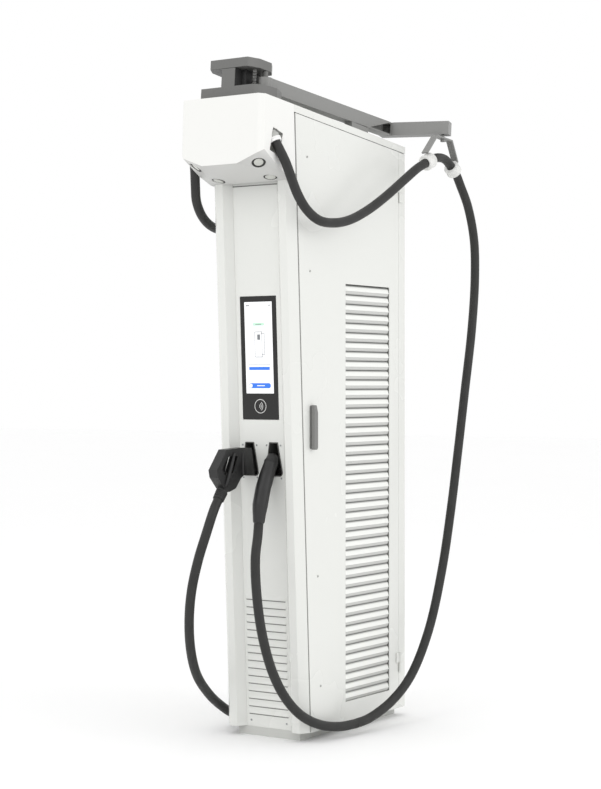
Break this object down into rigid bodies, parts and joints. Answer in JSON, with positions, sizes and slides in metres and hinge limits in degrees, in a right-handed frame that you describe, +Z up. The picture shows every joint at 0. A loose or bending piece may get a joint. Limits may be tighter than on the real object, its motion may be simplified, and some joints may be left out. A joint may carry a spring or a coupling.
{
  "type": "ev charging post",
  "caption": "Leaning white EV charging post with a lamp-lit head, portrait display, louvred service door, roof swing arms and holstered connectors on long looped cables",
  "frame": {"origin": "centre of the plinth's underside, on the ground", "axes": "+Z up, -Y out of the front with the display and connectors, +X towards the side with the service door"},
  "size_m": [0.614, 1.1795, 2.1217],
  "materials": {
    "body_paint": "satin white powder coat",
    "louvre_paint": "satin white powder coat on pressed slats",
    "hinge_metal": "powder-coated steel",
    "head_paint": "smooth white paint",
    "plinth_paint": "light grey paint",
    "galvanised": "galvanised sheet",
    "display_glass": "dark printed border under gloss cover",
    "display_picture": "lit screen",
    "dark_plastic": "fine-grained black moulding",
    "connector_plastic": "black glass-filled moulding",
    "lamp_trim": "dark grey ring",
    "handle_grey": "grey die casting",
    "arm_paint": "mid grey paint",
    "clamp_white": "off-white moulding",
    "cable_rubber": "dull black jacket",
    "circuit_green": "solder mask",
    "meter_plastic": "light grey housing"
  },
  "bodies": {
    "cabinet": {"front_panel": "body_paint", "roof_cap": "body_paint", "side_panel": "body_paint", "rear_panel": "body_paint", "corner_trim_right": "body_paint", "corner_trim_left": "body_paint", "side_louvre": "louvre_paint", "hinge_lower_fixed_leaf": "hinge_metal", "hinge_upper_fixed_leaf": "hinge_metal", "head_shell": "head_paint", "base_plinth": "plinth_paint", "mounting_plate": "galvanised", "power_module_1": "galvanised", "power_module_2": "galvanised", "power_module_3": "galvanised", "frame_post_right": "galvanised", "frame_post_left": "galvanised", "display_bezel": "display_glass", "display_screen": "display_picture", "card_reader": "dark_plastic", "main_breaker": "dark_plastic", "dc_contactor": "dark_plastic", "fan_housing": "dark_plastic", "holster_right": "dark_plastic", "holster_left": "dark_plastic", "downlight_front_right": "lamp_trim", "downlight_front_left": "lamp_trim", "downlight_rear_right": "lamp_trim", "downlight_rear_left": "lamp_trim", "arm_bracket": "arm_paint", "arm_bracket_cap": "arm_paint", "cable_gland_right": "clamp_white", "cable_gland_left": "clamp_white", "cable_top_right": "cable_rubber", "cable_top_left": "cable_rubber", "cable_rise_right": "cable_rubber", "cable_rise_left": "cable_rubber", "control_board": "circuit_green", "energy_meter": "meter_plastic"},
    "door": {"door_panel": "body_paint", "door_louvre": "louvre_paint", "hinge_lower_door_leaf": "hinge_metal", "hinge_upper_door_leaf": "hinge_metal", "handle_escutcheon": "dark_plastic"},
    "door_spindle": {"handle_spindle": "galvanised"},
    "door_lever": {"handle_lever": "handle_grey"},
    "arm_right": {"swing_arm_right": "arm_paint", "cable_hanger_right": "arm_paint", "cable_clamp_1_right": "clamp_white", "cable_clamp_2_right": "clamp_white", "cable_drop_right": "cable_rubber"},
    "arm_left": {"swing_arm_left": "arm_paint", "cable_hanger_left": "arm_paint", "cable_clamp_1_left": "clamp_white", "cable_clamp_2_left": "clamp_white", "cable_drop_left": "cable_rubber"},
    "plug_right": {"connector_right": "connector_plastic"},
    "plug_left": {"connector_left": "connector_plastic"},
    "fan": {"fan_rotor": "dark_plastic"},
    "toggle": {"breaker_toggle": "dark_plastic"}
  },
  "joints": [
    {"name": "door_hinge", "type": "hinge", "parent": "cabinet", "child": "door", "pos_m": [0.1604, 0.2525, 1], "axis": [0, 0, 1], "range_deg": [0, 60]},
    {"name": "handle_turn", "type": "hinge", "parent": "door", "child": "door_spindle", "pos_m": [0.156, -0.28, 1.034], "axis": [1, 0, 0], "range_deg": [0, 90]},
    {"name": "handle_lift", "type": "hinge", "parent": "door_spindle", "child": "door_lever", "pos_m": [0.17, -0.28, 1.05], "axis": [0, -1, 0], "range_deg": [0, 25]},
    {"name": "arm_right_swing", "type": "hinge", "parent": "cabinet", "child": "arm_right", "pos_m": [0.083, -0.4414, 1.9921], "axis": [0, -0.088, -0.9961], "range_deg": [0, 95], "deforming": ["cable_top_right", "cable_drop_right"]},
    {"name": "arm_left_swing", "type": "hinge", "parent": "cabinet", "child": "arm_left", "pos_m": [-0.06, -0.4285, 1.991], "axis": [0, 0.088, 0.9961], "range_deg": [0, 95], "deforming": ["cable_top_left", "cable_drop_left"]},
    {"name": "plug_right_pull", "type": "slide", "parent": "cabinet", "child": "plug_right", "axis": [0, -0.9404, 0.3401], "range_m": [0, 0.12], "deforming": ["cable_rise_right"]},
    {"name": "plug_left_pull", "type": "slide", "parent": "cabinet", "child": "plug_left", "axis": [0, -0.9802, 0.198], "range_m": [0, 0.12], "deforming": ["cable_rise_left"]},
    {"name": "fan_spin", "type": "hinge", "parent": "cabinet", "child": "fan", "pos_m": [-0.12, 0.052, 1.24], "axis": [1, 0, 0], "continuous": true},
    {"name": "breaker_switch", "type": "hinge", "parent": "cabinet", "child": "toggle", "pos_m": [-0.06, -0.035, 1.01], "axis": [0, 1, 0], "range_deg": [0, 40]}
  ]
}
